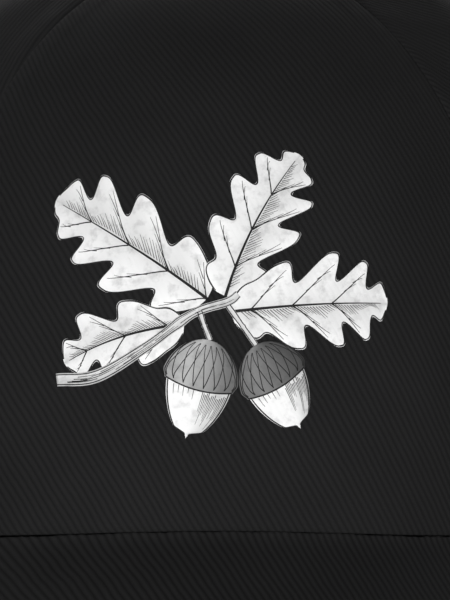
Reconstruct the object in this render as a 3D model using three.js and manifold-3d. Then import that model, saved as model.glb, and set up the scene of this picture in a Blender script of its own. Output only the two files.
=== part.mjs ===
// A structured five-panel baseball cap in cotton twill, life size, lying on a table the way it rests: on
// the two low sides of its curved brim and on the back edge of the crown, so it leans back a little.
// Millimetres, +Z up. The brim points to -Y, and +X is towards the wearer's left-hand side.
import * as THREE from "three";
import { mergeVertices } from "three/addons/utils/BufferGeometryUtils.js";
import Module from "manifold-3d";

const wasm = await Module();
wasm.setup();

const degree = Math.PI / 180;
const clearance = 0.3; // left between sewn pieces that touch

// The crown: an oval that rises steeply and rounds over at the top.
const crownHalfLength = 100;
const crownHalfWidth = 82;
const crownHeight = 113.5;
const frontFullness = 2.35; // exponent of the rounded outline, 2 is an ellipse and more is squarer
const backFullness = 2.5;
const sideFullness = 0.4; // the shoulders of the crown, over the ears, are this much squarer still
const sideSharpness = 10; // even, and larger to keep that to the sides alone
const browDip = 8; // the lower edge falls this far from the middle of the brow to the temples
const brimEndAngle = 68 * degree; // where the brim ends, measured round from the brow

// Layers of the crown, each given as its depth inside the outer face.
const panelThickness = 1.25;
const tapeDepth = 1.65;
const tapeThickness = 0.6;
const bandDepth = 2.65;
const bandThickness = 1.1;

// The five panels meet at these seams, measured round from the brow, and end at a small hole on top.
const frontSeam = 53 * degree;
const rearSeam = 117 * degree;
const topHoleRise = 88.4 * degree;

const bandHeight = 33;
const bandDrop = 3.7; // the band hangs this far below the edge at the brow, where it hides the brim's root
const bandSeam = 4; // height of the sewn strip at the foot of the band, which meets the panels
const tapeHalfWidth = 5.6;
const tapeTopRise = 85.2 * degree;

// The opening at the back, and the two halves of the snap strap across it.
const archHalfWidth = 38;
const archHeight = 43;
const archSquareness = 2.3;
const bindingWidth = 8;
const bindingStart = 32 * degree; // how far round the arch its inner binding starts, clear of the strap
const strapLow = 1.6;
const strapHeight = 17;
const strapThickness = 1.4;
const strapReach = 51; // how far each half runs under its back panel, from the middle of the back
const strapRadius = 84; // mean radius of the band round the back, turns a length into an angle
const snapPitch = 8.5;
const pegRadius = 2.2;
const holeRadius = 2.65;

// The brim, in plan: a wide rounded front and two short round corners that run back to the temples.
const brimHalfWidth = 88.3;
const brimShoulder = -70; // where it is widest, fore and aft
const brimFront = -168.5;
const brimFullness = 2.25;
const brimCorner = [78.8, -38.2];
const brimSlope = 0.364; // how fast its middle line falls towards the front
const brimCurl = 0.0041; // how fast it falls to the sides, by the square of the distance
const coverThickness = 1.5;
const edgeRound = 0.8;

const eyelets = [
  { name: "eyelet_side_left", angle: 84 * degree, height: 72 },
  { name: "eyelet_back_left", angle: 146 * degree, height: 76 },
  { name: "eyelet_back_right", angle: -146 * degree, height: 76 },
  { name: "eyelet_side_right", angle: -84 * degree, height: 72 },
];
const eyeletHole = 3.1;

const tiltBack = 7.54 * degree; // brings the sides of the brim and the back edge to one level
const liftToTable = 19.54;
const backToMiddle = 34.8; // moves the cap so that its bounding box is centred on the origin

// Shape of the crown

// Height of the crown's lower edge, round from the brow.
function edgeHeight(angle) {
  const turn = Math.min(Math.abs(angle), brimEndAngle) / brimEndAngle;
  return (-browDip * (1 - Math.cos(Math.PI * turn))) / 2;
}

// Exponent of the outline, which changes smoothly from the brow to the back.
function fullness(angle) {
  const front = (1 + Math.cos(angle)) / 2;
  const side = Math.pow(Math.sin(angle), sideSharpness);
  return frontFullness * front + backFullness * (1 - front) + sideFullness * side;
}

// A point of the outer face: rise runs from 0 at the lower edge to 90 degrees on top.
function outerFace(angle, rise) {
  const power = 2 / fullness(angle);
  const low = edgeHeight(angle);
  const reach = Math.pow(Math.max(Math.cos(rise), 0), power);
  const up = Math.pow(Math.max(Math.sin(rise), 0), power);
  return new THREE.Vector3(
    crownHalfWidth * reach * Math.sin(angle),
    -crownHalfLength * reach * Math.cos(angle),
    low + (crownHeight - low) * up,
  );
}

// The outward direction of the outer face there.
function outward(angle, rise) {
  const step = 0.004;
  const low = Math.max(rise - step, 0.02);
  const round = outerFace(angle + step, low + step).sub(outerFace(angle - step, low + step));
  const up = outerFace(angle, low + 2 * step).sub(outerFace(angle, low));
  return round.cross(up).normalize();
}

// A point at a depth inside the outer face.
function crownPoint(angle, rise, depth = 0) {
  return outerFace(angle, rise).addScaledVector(outward(angle, rise), -depth);
}

// The rise at which the outer face is this high above its own lower edge.
function riseAt(angle, height) {
  const share = Math.max(height, 0) / (crownHeight - edgeHeight(angle));
  return Math.asin(Math.pow(Math.min(share, 1), fullness(angle) / 2));
}

// The same by height above the lower edge; below the edge the wall carries straight on down.
function wallPoint(angle, height, depth) {
  const point = crownPoint(angle, riseAt(angle, height), depth);
  point.z += Math.min(height, 0);
  return point;
}

// The angle at which the back of the crown has this place in X, at this height above the lower edge.
function backAngle(x, height) {
  let angle = Math.PI;
  for (let round = 0; round < 12; round += 1) {
    const reach = Math.pow(Math.cos(riseAt(angle, height)), 2 / fullness(angle));
    angle = Math.PI - Math.asin(x / (crownHalfWidth * reach));
  }
  return angle;
}

// The angle that lies a distance to one side of the seam plane at this rise.
function besideSeam(seam, rise, distance) {
  const reach = Math.pow(Math.cos(rise), 2 / fullness(seam));
  const long = Math.hypot(crownHalfWidth * Math.sin(seam), crownHalfLength * Math.cos(seam));
  const share = (distance * long) / (reach * crownHalfLength * crownHalfWidth);
  return seam + Math.asin(THREE.MathUtils.clamp(share, -1, 1));
}

// Closed solids

// A closed sheet with a thickness. place(u, v, w) gives its points: u and v run over the sheet from 0 to 1,
// w is 0 on one face and 1 on the other.
function sheet(columns, rows, place) {
  const points = [];
  const index = [];
  const wide = columns + 1;
  const layer = wide * (rows + 1);
  for (const w of [0, 1])
    for (let j = 0; j <= rows; j += 1)
      for (let i = 0; i <= columns; i += 1) points.push(...place(i / columns, j / rows, w).toArray());
  const quad = (a, b, c, d) => index.push(a, b, c, a, c, d);
  for (let j = 0; j < rows; j += 1)
    for (let i = 0; i < columns; i += 1) {
      const a = j * wide + i;
      quad(a, a + 1, a + wide + 1, a + wide);
      quad(layer + a, layer + a + wide, layer + a + wide + 1, layer + a + 1);
    }
  for (let i = 0; i < columns; i += 1) {
    const top = rows * wide + i;
    quad(i + 1, i, layer + i, layer + i + 1);
    quad(top, top + 1, layer + top + 1, layer + top);
  }
  for (let j = 0; j < rows; j += 1) {
    const left = j * wide;
    const right = left + columns;
    quad(left, left + wide, layer + left + wide, layer + left);
    quad(right + wide, right, layer + right, layer + right + wide);
  }
  const geometry = new THREE.BufferGeometry();
  geometry.setAttribute("position", new THREE.Float32BufferAttribute(points, 3));
  geometry.setIndex(index);
  return facingOut(geometry);
}

// Turns the faces round if they point inwards.
function facingOut(geometry) {
  const at = geometry.attributes.position;
  const index = geometry.index.array;
  const [a, b, c] = [new THREE.Vector3(), new THREE.Vector3(), new THREE.Vector3()];
  let volume = 0;
  for (let i = 0; i < index.length; i += 3) {
    a.fromBufferAttribute(at, index[i]);
    b.fromBufferAttribute(at, index[i + 1]);
    c.fromBufferAttribute(at, index[i + 2]);
    volume += a.dot(b.cross(c));
  }
  if (volume < 0)
    for (let i = 0; i < index.length; i += 3) [index[i], index[i + 1]] = [index[i + 1], index[i]];
  return geometry;
}

function toSolid(geometry) {
  const bare = geometry.clone();
  bare.deleteAttribute("normal");
  bare.deleteAttribute("uv");
  const merged = mergeVertices(bare, 1e-4);
  const vertProperties = new Float32Array(merged.attributes.position.array);
  return new wasm.Manifold(
    new wasm.Mesh({ numProp: 3, vertProperties, triVerts: new Uint32Array(merged.index.array) }),
  );
}

function toGeometry(solid) {
  const mesh = solid.getMesh();
  const geometry = new THREE.BufferGeometry();
  geometry.setAttribute("position", new THREE.Float32BufferAttribute(mesh.vertProperties, 3));
  geometry.setIndex(new THREE.BufferAttribute(new Uint32Array(mesh.triVerts), 1));
  return geometry;
}

// A turned shape, given by radius and height pairs, set on the crown with its axis pointing outwards.
function turnedOn(profile, segments, angle, rise, depth) {
  const turned = new THREE.LatheGeometry(profile.map(([r, z]) => new THREE.Vector2(r, z)), segments);
  const spin = new THREE.Quaternion().setFromUnitVectors(new THREE.Vector3(0, 1, 0), outward(angle, rise));
  turned.applyQuaternion(spin);
  const seat = crownPoint(angle, rise, depth);
  return turned.translate(seat.x, seat.y, seat.z);
}

// Materials

const cloth = (color, roughness) => new THREE.MeshStandardMaterial({ color, roughness, metalness: 0 });
const twill = cloth(0x222222, 0.9);
const lining = cloth(0x3a3a38, 0.95);
const tape = cloth(0x1b1b1b, 0.85);
const bandCloth = cloth(0x262626, 0.9);
const plastic = cloth(0x161616, 0.45);
const thread = cloth(0x1d1d1d, 0.7);

const cap = new THREE.Group();

function add(name, geometry, material) {
  const mesh = new THREE.Mesh(geometry, material);
  mesh.name = name;
  cap.add(mesh);
}

// Crown panels

// A point of the arch's edge, or outside it: across and up from the middle of the lower edge.
function archPoint(turn, out = 0) {
  const across = Math.sign(Math.cos(turn)) * Math.pow(Math.abs(Math.cos(turn)), 2 / archSquareness);
  const up = Math.pow(Math.max(Math.sin(turn), 0), 2 / archSquareness);
  return [(archHalfWidth + out) * across, (archHeight + out) * up];
}

// The arch as a bar through the back of the crown, which cuts the back panels.
function archCutter() {
  const steps = 26;
  const belowEdge = -30;
  const outline = new THREE.Shape().moveTo(archHalfWidth, belowEdge);
  for (let i = 0; i <= steps; i += 1) {
    const [across, up] = archPoint((Math.PI * i) / steps);
    outline.lineTo(across, up - browDip);
  }
  outline.lineTo(-archHalfWidth, belowEdge);
  const bar = new THREE.ExtrudeGeometry(outline, { depth: 0.8 * crownHalfLength, bevelEnabled: false });
  return toSolid(bar.rotateX(Math.PI / 2).translate(0, 1.3 * crownHalfLength, 0));
}

function eyeletCutter(angle, rise) {
  const reach = 5 * panelThickness;
  return toSolid(
    turnedOn([[0, -reach], [eyeletHole, -reach], [eyeletHole, reach], [0, reach]], 16, angle, rise, 0),
  );
}

// One panel from one seam to the next, cut for its eyelets and, at the back, for the arch.
function panel(from, to, columns, rows) {
  const half = clearance / 2;
  const body = sheet(columns, rows, (u, v, w) => {
    const rise = v * topHoleRise;
    const angle = THREE.MathUtils.lerp(besideSeam(from, rise, half), besideSeam(to, rise, -half), u);
    return crownPoint(angle, rise, w * panelThickness);
  });
  let solid = toSolid(body);
  for (const eyelet of eyelets) {
    const angle = eyelet.angle < from ? eyelet.angle + 2 * Math.PI : eyelet.angle;
    if (angle < to) solid = solid.subtract(eyeletCutter(angle, riseAt(angle, eyelet.height)));
  }
  if (from === Math.PI || to === Math.PI) solid = solid.subtract(archCutter());
  return toGeometry(solid);
}

add("front_panel", panel(-frontSeam, frontSeam, 14, 13), twill);
add("side_panel_left", panel(frontSeam, rearSeam, 8, 13), twill);
add("side_panel_right", panel(-rearSeam, -frontSeam, 8, 13), twill);
add("back_panel_left", panel(rearSeam, Math.PI, 8, 13), twill);
add("back_panel_right", panel(Math.PI, 2 * Math.PI - rearSeam, 8, 13), twill);

// Inside the crown

// The stiff backing of the front panel, short of the tapes over its seams.
add(
  "front_backing",
  sheet(14, 12, (u, v, w) => {
    const rise = THREE.MathUtils.lerp(0, tapeTopRise - 3 * degree, v);
    const edge = besideSeam(frontSeam, rise, -tapeHalfWidth - clearance);
    return crownPoint(THREE.MathUtils.lerp(-edge, edge, u), rise, tapeDepth + w * tapeThickness);
  }),
  lining,
);

// A tape over the inside of a seam, from a height above the edge to the top.
function seamTape(seam, height) {
  const low = riseAt(seam, height);
  return sheet(2, 12, (u, v, w) => {
    const rise = THREE.MathUtils.lerp(low, tapeTopRise, v);
    const angle = besideSeam(seam, rise, (2 * u - 1) * tapeHalfWidth);
    return crownPoint(angle, rise, tapeDepth + w * tapeThickness);
  });
}

add("seam_tape_front_left", seamTape(frontSeam, bandSeam + 1), tape);
add("seam_tape_front_right", seamTape(-frontSeam, bandSeam + 1), tape);
add("seam_tape_rear_left", seamTape(rearSeam, bandSeam + 1), tape);
add("seam_tape_rear_right", seamTape(-rearSeam, bandSeam + 1), tape);
add("seam_tape_back", seamTape(Math.PI, archHeight + bindingWidth + 1), tape);

// The binding behind the edge of the arch, above the strap.
add(
  "arch_binding",
  sheet(18, 2, (u, v, w) => {
    const turn = THREE.MathUtils.lerp(bindingStart, Math.PI - bindingStart, u);
    const [across, up] = archPoint(turn, v * bindingWidth);
    return wallPoint(backAngle(across, up), up, tapeDepth + w * tapeThickness);
  }),
  tape,
);

// The sweatband: one band right round, open at the back. Its foot meets the panels, and behind the brim's
// root it hangs a little lower instead.
const bandEnd = Math.PI - (strapReach + clearance) / strapRadius;
const footDepth = panelThickness + clearance;
add(
  "sweatband",
  sheet(44, 4, (u, v, w) => {
    const angle = THREE.MathUtils.lerp(-bandEnd, bandEnd, u);
    const past = Math.abs(angle) / brimEndAngle;
    const bottom = THREE.MathUtils.lerp(-bandDrop, 0.8, THREE.MathUtils.smoothstep(past, 0.86, 1.04));
    const row = Math.round(v * 4);
    const height = [bottom, bandSeam - 1, bandSeam, bandHeight / 2, bandHeight][row];
    const foot = row < 2 ? THREE.MathUtils.smoothstep(past, 1.1, 1.25) : 0;
    const face = THREE.MathUtils.lerp(bandDepth, footDepth, foot);
    return wallPoint(angle, height, w === 0 ? face : bandDepth + bandThickness);
  }),
  bandCloth,
);

// Brim

// Its outline from the middle of the front, at 0, to the corner at the temple, at 1.
function brimOutline(share) {
  const turn = 0.8;
  if (share <= turn) {
    const angle = (share / turn) * 90 * degree;
    return [
      brimHalfWidth * Math.pow(Math.sin(angle), 2 / brimFullness),
      brimShoulder + (brimFront - brimShoulder) * Math.pow(Math.max(Math.cos(angle), 0), 2 / brimFullness),
    ];
  }
  const angle = ((share - turn) / (1 - turn)) * 90 * degree;
  return [
    brimCorner[0] + (brimHalfWidth - brimCorner[0]) * Math.cos(angle),
    brimShoulder + (brimCorner[1] - brimShoulder) * Math.sin(angle),
  ];
}

// Top face of the brim: along runs from -1 at the right-hand temple to 1, out from the crown to the edge.
function brimPoint(along, out) {
  const share = Math.abs(along);
  const root = wallPoint(along * brimEndAngle, -clearance, bandDepth - clearance);
  const [x, y] = brimOutline(share);
  const free = brimSlope * (y + crownHalfLength) - brimCurl * x * x;
  const fixed = edgeHeight(brimEndAngle) - clearance;
  const height = THREE.MathUtils.lerp(free, fixed, THREE.MathUtils.smoothstep(share, 0.8, 1));
  return root.lerp(new THREE.Vector3(Math.sign(along) * x, y, height), out);
}

// The direction in which the brim is thick: straight up at its root, square to its face further out.
function brimUp(along, out) {
  const at = brimPoint(along, out);
  const square = new THREE.Vector3(2 * brimCurl * at.x, -brimSlope, 1).normalize();
  return new THREE.Vector3(0, 0, 1).lerp(square, THREE.MathUtils.smoothstep(out, 0, 0.25)).normalize();
}

// One of the brim's two covers: its outer rim is drawn in where the two faces round over.
function brimCover(top, bottom, roundTop) {
  const stations = [0, 0.25, 0.55, 0.78];
  return sheet(36, stations.length + 1, (u, v, w) => {
    const along = 2 * u - 1;
    const step = Math.round(v * (stations.length + 1));
    const length = brimPoint(along, 0).distanceTo(brimPoint(along, 1));
    const out = [...stations, 1 - edgeRound / length, 1][step];
    const rounded = out === 1 && (roundTop ? w === 0 : w === 1);
    const draw = rounded ? edgeRound * (1 - 2 * w) : 0;
    const depth = THREE.MathUtils.lerp(top, bottom, w) + draw;
    return brimPoint(along, out).addScaledVector(brimUp(along, out), -depth);
  });
}

add("brim_upper", brimCover(0, coverThickness, true), twill);
add("brim_lower", brimCover(coverThickness + clearance, 2 * coverThickness + clearance, false), twill);

// Button on top

const buttonProfile = [
  [0, -3.0], [6.2, -3.0], [6.4, -2.2], [6.0, -1.6], [2.6, -1.55], [2.6, 0.4],
  [7.1, 0.35], [7.7, 0.9], [7.4, 2.3], [6.0, 3.8], [3.4, 4.8], [0, 5.1],
];
add("top_button", turnedOn(buttonProfile, 24, 0, 90 * degree, 0), twill);

// Eyelets: a sewn ring through each hole, with a raised rim outside

for (const eyelet of eyelets) {
  const rim = [
    [1.7, -1.7], [2.7, -1.7], [2.7, 0.4], [4.3, 0.4],
    [4.5, 0.8], [4.0, 1.25], [2.9, 1.4], [1.9, 1.0], [1.7, -1.7],
  ];
  add(eyelet.name, turnedOn(rim, 16, eyelet.angle, riseAt(eyelet.angle, eyelet.height), 0), thread);
}

// Snap strap

// A flat band round the back between two places along it, its free end rounded.
function strap(from, to, depthAt) {
  const half = strapHeight / 2;
  const columns = 34;
  return sheet(columns, 1, (u, v, w) => {
    const near = Math.sin((u * Math.PI) / 2); // stations crowd together at the free end
    const along = THREE.MathUtils.lerp(from, to, near);
    const short = Math.max(1 - Math.abs(to - along) / half, 0);
    const tall = Math.max(half * Math.sqrt(Math.max(1 - short * short, 0)), 2.2);
    const height = strapLow + half + (2 * v - 1) * tall;
    return wallPoint(Math.PI - along / strapRadius, height, depthAt(along) + w * strapThickness);
  });
}

// A pin or hole across the strap at one place along it, between two depths.
function acrossStrap(along, radius, near, far) {
  const angle = Math.PI - along / strapRadius;
  const rise = riseAt(angle, strapLow + strapHeight / 2);
  return toSolid(turnedOn([[0, -far], [radius, -far], [radius, -near], [0, -near]], 14, angle, rise, 0));
}

const under = tapeDepth + strapThickness + clearance; // depth of the half that passes behind the other
const innerDepth = (along) =>
  THREE.MathUtils.lerp(under, tapeDepth, THREE.MathUtils.smoothstep(-along, 20, 40));
const pegs = [-30, -30 + snapPitch, -30 + 2 * snapPitch, -30 + 3 * snapPitch, -30 + 4 * snapPitch];
const holes = pegs.slice(2).concat([1, 2, 3].map((n) => pegs[4] + n * snapPitch));

let outerStrap = toSolid(strap(strapReach, pegs[2] - 6, () => tapeDepth));
for (const along of holes) outerStrap = outerStrap.subtract(acrossStrap(along, holeRadius, -2, 9));
add("strap_outer", toGeometry(outerStrap), plastic);

let innerStrap = toSolid(strap(-strapReach, pegs[4] + 6, innerDepth));
for (const along of pegs) {
  const face = innerDepth(along);
  innerStrap = innerStrap.add(acrossStrap(along, pegRadius, face - 2.4, face + 0.7));
}
add("strap_inner", toGeometry(innerStrap), plastic);

// The cap as it rests on a table
cap.rotation.x = -tiltBack;
cap.position.set(0, backToMiddle, liftToTable);

const part = new THREE.Group();
part.add(cap);

export default part;
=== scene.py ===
import math

import bmesh
import bpy
import numpy as np
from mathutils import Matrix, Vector


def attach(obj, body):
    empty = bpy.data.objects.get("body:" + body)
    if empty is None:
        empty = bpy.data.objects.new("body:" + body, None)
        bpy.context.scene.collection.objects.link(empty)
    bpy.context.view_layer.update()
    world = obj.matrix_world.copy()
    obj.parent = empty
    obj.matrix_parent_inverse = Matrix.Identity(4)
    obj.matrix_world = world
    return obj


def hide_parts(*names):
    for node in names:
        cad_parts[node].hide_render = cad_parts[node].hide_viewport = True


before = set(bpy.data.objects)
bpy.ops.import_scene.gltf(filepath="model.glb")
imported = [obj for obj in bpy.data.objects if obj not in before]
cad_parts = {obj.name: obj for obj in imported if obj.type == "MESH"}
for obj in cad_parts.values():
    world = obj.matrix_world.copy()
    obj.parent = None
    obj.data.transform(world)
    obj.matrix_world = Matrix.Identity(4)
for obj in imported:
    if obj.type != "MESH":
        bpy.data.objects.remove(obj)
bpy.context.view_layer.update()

print("frame loaded:", len(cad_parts), "solids")

# The crown's form, the same as the solids have
crown = {
    "halfLength": 100.0,
    "halfWidth": 82.0,
    "height": 113.5,
    "frontFullness": 2.35,
    "backFullness": 2.5,
    "sideFullness": 0.4,
    "sideSharpness": 10,
    "browDip": 8.0,
    "brimEnd": math.radians(68),
    "frontSeam": math.radians(53),
    "rearSeam": math.radians(117),
    "topHole": math.radians(88.4),
    "tiltBack": math.radians(7.54),
    "lift": 19.54,
    "back": 34.8,
}


def smooth(low, high, value):
    t = np.clip((value - low) / (high - low), 0, 1)
    return t * t * (3 - 2 * t)


def unit(vectors):
    return vectors / np.maximum(np.linalg.norm(vectors, axis=-1, keepdims=True), 1e-9)


def travelled(points):
    # distance along a line of points, from its first
    return np.concatenate([[0], np.cumsum(np.linalg.norm(np.diff(points, axis=0), axis=1))])


def ripple(x, y, size, seed):
    # soft unevenness, about -1 to 1, from a few seeded waves
    draw = np.random.default_rng(seed)
    total = 0.0
    for _ in range(7):
        turn, length, start = draw.uniform(0, 2 * np.pi), size * draw.uniform(0.7, 1.6), draw.uniform(0, 2 * np.pi)
        total = total + np.sin(2 * np.pi * (x * math.cos(turn) + y * math.sin(turn)) / length + start)
    return total / 3.5


def edgeHeight(angle):
    turn = np.minimum(np.abs(angle), crown["brimEnd"]) / crown["brimEnd"]
    return -crown["browDip"] * (1 - np.cos(np.pi * turn)) / 2


def fullness(angle):
    front = (1 + np.cos(angle)) / 2
    side = np.sin(angle) ** crown["sideSharpness"]
    return crown["frontFullness"] * front + crown["backFullness"] * (1 - front) + crown["sideFullness"] * side


def reachAt(angle, rise):
    return np.maximum(np.cos(rise), 0) ** (2 / fullness(angle))


def outerFace(angle, rise):
    angle, rise = np.broadcast_arrays(np.asarray(angle, float), np.asarray(rise, float))
    low, reach = edgeHeight(angle), reachAt(angle, rise)
    up = np.maximum(np.sin(rise), 0) ** (2 / fullness(angle))
    return np.stack([
        crown["halfWidth"] * reach * np.sin(angle),
        -crown["halfLength"] * reach * np.cos(angle),
        low + (crown["height"] - low) * up,
    ], -1)


def outward(angle, rise):
    step = 0.004
    low = np.maximum(rise - step, 0.02)
    around = outerFace(angle + step, low + step) - outerFace(angle - step, low + step)
    up = outerFace(angle, low + 2 * step) - outerFace(angle, low)
    return unit(np.cross(around, up))


def crownPoint(angle, rise, depth=0.0):
    return outerFace(angle, rise) - outward(angle, rise) * np.asarray(depth, float)[..., None]


def riseAt(angle, height):
    share = np.maximum(height, 0) / (crown["height"] - edgeHeight(angle))
    return np.arcsin(np.minimum(share, 1) ** (fullness(angle) / 2))


def wallPoint(angle, height, depth):
    angle, height, depth = np.broadcast_arrays(*(np.asarray(x, float) for x in (angle, height, depth)))
    point = crownPoint(angle, riseAt(angle, height), depth)
    point[..., 2] += np.minimum(height, 0)
    return point


def seamSize(seam):
    a, b = crown["halfLength"], crown["halfWidth"]
    return a * b / math.hypot(b * math.sin(seam), a * math.cos(seam))


def seamDistance(angle, rise, seam):
    # how far a point of the crown lies to one side of a seam
    return reachAt(angle, rise) * np.sin(angle - seam) * seamSize(seam)


def besideSeam(seam, rise, distance):
    share = distance / (np.maximum(reachAt(seam, rise), 1e-6) * seamSize(seam))
    return seam + np.arcsin(np.clip(share, -1, 1))


def crownAngles(points):
    # the angle and rise of points that lie on the crown or near it
    across = points[..., 0] / crown["halfWidth"]
    along = -points[..., 1] / crown["halfLength"]
    angle = np.arctan2(across, along)
    reach = np.clip(np.hypot(across, along), 0, 1)
    byReach = np.arccos(reach ** (fullness(angle) / 2))
    byHeight = riseAt(angle, points[..., 2] - edgeHeight(angle))
    # the walls are told by their height and the top by its reach
    high = smooth(0.55, 1.0, byHeight)
    return angle, byHeight * (1 - high) + byReach * high


def toFrame(points):
    # from the cap's upright frame in millimetres to the row's frame in metres
    c, s = math.cos(crown["tiltBack"]), math.sin(crown["tiltBack"])
    x, y, z = points[..., 0], points[..., 1], points[..., 2]
    return np.stack([x, y * c + z * s + crown["back"], -y * s + z * c + crown["lift"]], -1) / 1000


def fromFrame(points):
    c, s = math.cos(crown["tiltBack"]), math.sin(crown["tiltBack"])
    x, y, z = (points[..., k] * 1000 for k in range(3))
    y, z = y - crown["back"], z - crown["lift"]
    return np.stack([x, y * c - z * s, y * s + z * c], -1)


# Camera and lights. The picture is taken from far off with a long lens, a little above the brow

cameraSetup = {
    "elevation": math.radians(15.66),
    "distance": 1200.0,
    "aimUp": 48.7,  # height of the picture's middle above the brim seam
    "aimRight": 1.16,  # the cap's middle lies a little left of the picture's
    "frameHeight": 126.0,  # what the picture's height takes in at the brim seam
    "sensor": 36.0,
}


def addCamera():
    spec = cameraSetup
    seam = Vector(toFrame(outerFace(0.0, 0.0)).tolist())
    e = spec["elevation"]
    look = Vector((0, math.cos(e), -math.sin(e)))
    up = Vector((0, math.sin(e), math.cos(e)))
    camera = bpy.data.objects.new("camera", bpy.data.cameras.new("camera"))
    camera.data.sensor_width = spec["sensor"]
    camera.data.lens = spec["sensor"] * spec["distance"] / spec["frameHeight"]
    camera.data.clip_start, camera.data.clip_end = 0.05, 30
    camera.location = seam + up * spec["aimUp"] / 1000 - look * spec["distance"] / 1000
    camera.location.x += spec["aimRight"] / 1000
    camera.rotation_euler = look.to_track_quat("-Z", "Y").to_euler()
    bpy.context.scene.collection.objects.link(camera)
    bpy.context.scene.camera = camera


lamps = {  # where each lamp stands, how many degrees across its glow is, and its strength
    "key": ((-0.18, -3.0, 0.13), 14, 3.85),
    "back": ((-0.3, 2.8, 0.92), 30, 2.5),
    "leftBack": ((-1.2, 2.6, 0.92), 30, 0.8),
    "rightBack": ((1.2, 2.6, 0.92), 30, 0.7),
}
sky = {"tone": 0.92, "low": 0.57, "high": 0.24, "haze": (0.06, 0.20)}  # paler near the horizon


def addNode(tree, kind, inputs=(), **settings):
    # a shader node, its inputs given as values or as the sockets to link
    node = tree.nodes.new("ShaderNode" + kind)
    for name, value in settings.items():
        setattr(node, name, value)
    for key, value in dict(inputs).items():
        if isinstance(value, bpy.types.NodeSocket):
            tree.links.new(value, node.inputs[key])
        else:
            node.inputs[key].default_value = value
    return node


def addLights():
    for name, (place, spread, strength) in lamps.items():
        lamp = bpy.data.lights.new(name, "SUN")
        lamp.energy = strength
        lamp.angle = np.radians(spread)
        thing = bpy.data.objects.new(name, lamp)
        thing.location = place
        thing.rotation_euler = (-thing.location).to_track_quat("-Z", "Y").to_euler()
        bpy.context.scene.collection.objects.link(thing)
    world = bpy.data.worlds.new("studio")
    world.use_nodes = True
    tree = world.node_tree
    background = tree.nodes["Background"]
    background.inputs["Color"].default_value = (sky["tone"], sky["tone"], sky["tone"], 1)
    direction = addNode(tree, "TexCoord").outputs["Generated"]
    up = addNode(tree, "SeparateXYZ", {0: direction}).outputs["Z"]
    fade = {"Value": up, "From Min": sky["haze"][0], "From Max": sky["haze"][1],
            "To Min": sky["low"], "To Max": sky["high"]}
    haze = addNode(tree, "MapRange", fade, interpolation_type="SMOOTHSTEP")
    tree.links.new(haze.outputs["Result"], background.inputs["Strength"])
    bpy.context.scene.world = world
    bpy.context.scene.view_settings.view_transform = "Standard"


addCamera()
addLights()
print("camera and lights placed")


# Materials

class Signal:
    # a socket of a node tree, for sums written as plain arithmetic
    def __init__(self, socket):
        self.socket = socket
        self.tree = socket.id_data

    def math(self, operation, *others):
        values = [getattr(value, "socket", value) for value in (self, *others)]
        return Signal(addNode(self.tree, "Math", enumerate(values), operation=operation).outputs[0])

    def __add__(self, other):
        return self.math("ADD", other)

    def __sub__(self, other):
        return self.math("SUBTRACT", other)

    def __mul__(self, other):
        return self.math("MULTIPLY", other)

    def cosine(self, period=1.0):
        return (self * (2 * math.pi / period)).math("COSINE")


def grain(vector, scale, detail=2.0, rough=0.5):
    inputs = {"Vector": vector.socket, "Scale": scale, "Detail": detail, "Roughness": rough}
    return Signal(addNode(vector.tree, "TexNoise", inputs).outputs["Fac"])


def clothAxes(shader):
    # the cloth's own millimetres, as the mesh carries them: both together, across, and up
    uv = addNode(shader.id_data, "UVMap", uv_map="cloth").outputs["UV"]
    parts = addNode(shader.id_data, "SeparateXYZ", {0: uv})
    return Signal(uv), Signal(parts.outputs["X"]), Signal(parts.outputs["Y"])


def objectPlace(shader):
    return Signal(addNode(shader.id_data, "TexCoord").outputs["Object"])


materials = {}


def newShader(name, roughness, specular):
    material = bpy.data.materials.new(name)
    material.use_nodes = True
    materials[name] = material
    shader = material.node_tree.nodes["Principled BSDF"]
    shader.inputs["Roughness"].default_value = roughness
    shader.inputs["Specular IOR Level"].default_value = specular
    return shader


def dress(shader, grey, height, relief, strength=1.0, blue=1.0):
    # a grey colour, and a relief of so many metres at full height
    tree = shader.id_data
    colour = addNode(tree, "CombineColor", {0: grey.socket, 1: grey.socket, 2: (grey * blue).socket})
    bump = addNode(tree, "Bump", {"Strength": strength, "Distance": relief, "Height": height.socket})
    tree.links.new(colour.outputs[0], shader.inputs["Base Color"])
    tree.links.new(bump.outputs["Normal"], shader.inputs["Normal"])


twillLook = {
    "albedo": 0.0158,
    "lean": 60.0,  # degrees the wales stand from the horizontal, falling to the right
    "pitch": 1.33,  # across the wales
    "yarn": 0.46,  # along a wale, from one float to the next
    "wander": 0.55,  # how far the wales stray, as a share of their pitch
    "grooveShade": 0.74,
    "mottle": 0.14,
    "relief": 0.00009,
    "sheen": 0.004,
}
# the brim is cut from the crown's cloth: its wale lean and pitch are its own, but its higher albedo is painted
# light, standing for the light its upturned face catches from above
brimTwillLook = {**twillLook, "lean": 70.4, "pitch": 1.54, "albedo": 0.0235, "grooveShade": 0.62}
wovenLooks = {  # plain weaves: how pale, the two thread spacings, the relief in metres and the contrast
    "bandCotton": (0.030, 0.7, 0.5, 0.00010, 0.35),
    "wovenTape": (0.020, 0.5, 1.1, 0.00010, 0.35),
    "stiffNet": (0.060, 1.6, 1.6, 0.00025, 1.2),
}


def weaveTwill(shader, look):
    # rounded wales made of short floats, all slightly uneven: their place, shape, fuzz and height
    cloth, u, v = clothAxes(shader)
    s, c = math.sin(math.radians(look["lean"])), math.cos(math.radians(look["lean"]))
    wander = (grain(cloth, 0.09, 3.0) - 0.5) * look["wander"]
    phase = u * (s / look["pitch"]) + v * (c / look["pitch"]) + wander
    wale = (phase.cosine() * 0.5 + 0.5).math("POWER", 0.65)
    along = u * (c / look["yarn"]) - v * (s / look["yarn"])
    bead = (phase.math("FLOOR") * 0.37 + along).cosine() * 0.5 + 0.5
    fuzz = grain(cloth, 3.2, 3.0, 0.65)
    return cloth, wale, fuzz, wale * 0.8 + bead * wale * 0.3 + fuzz * 0.35


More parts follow.
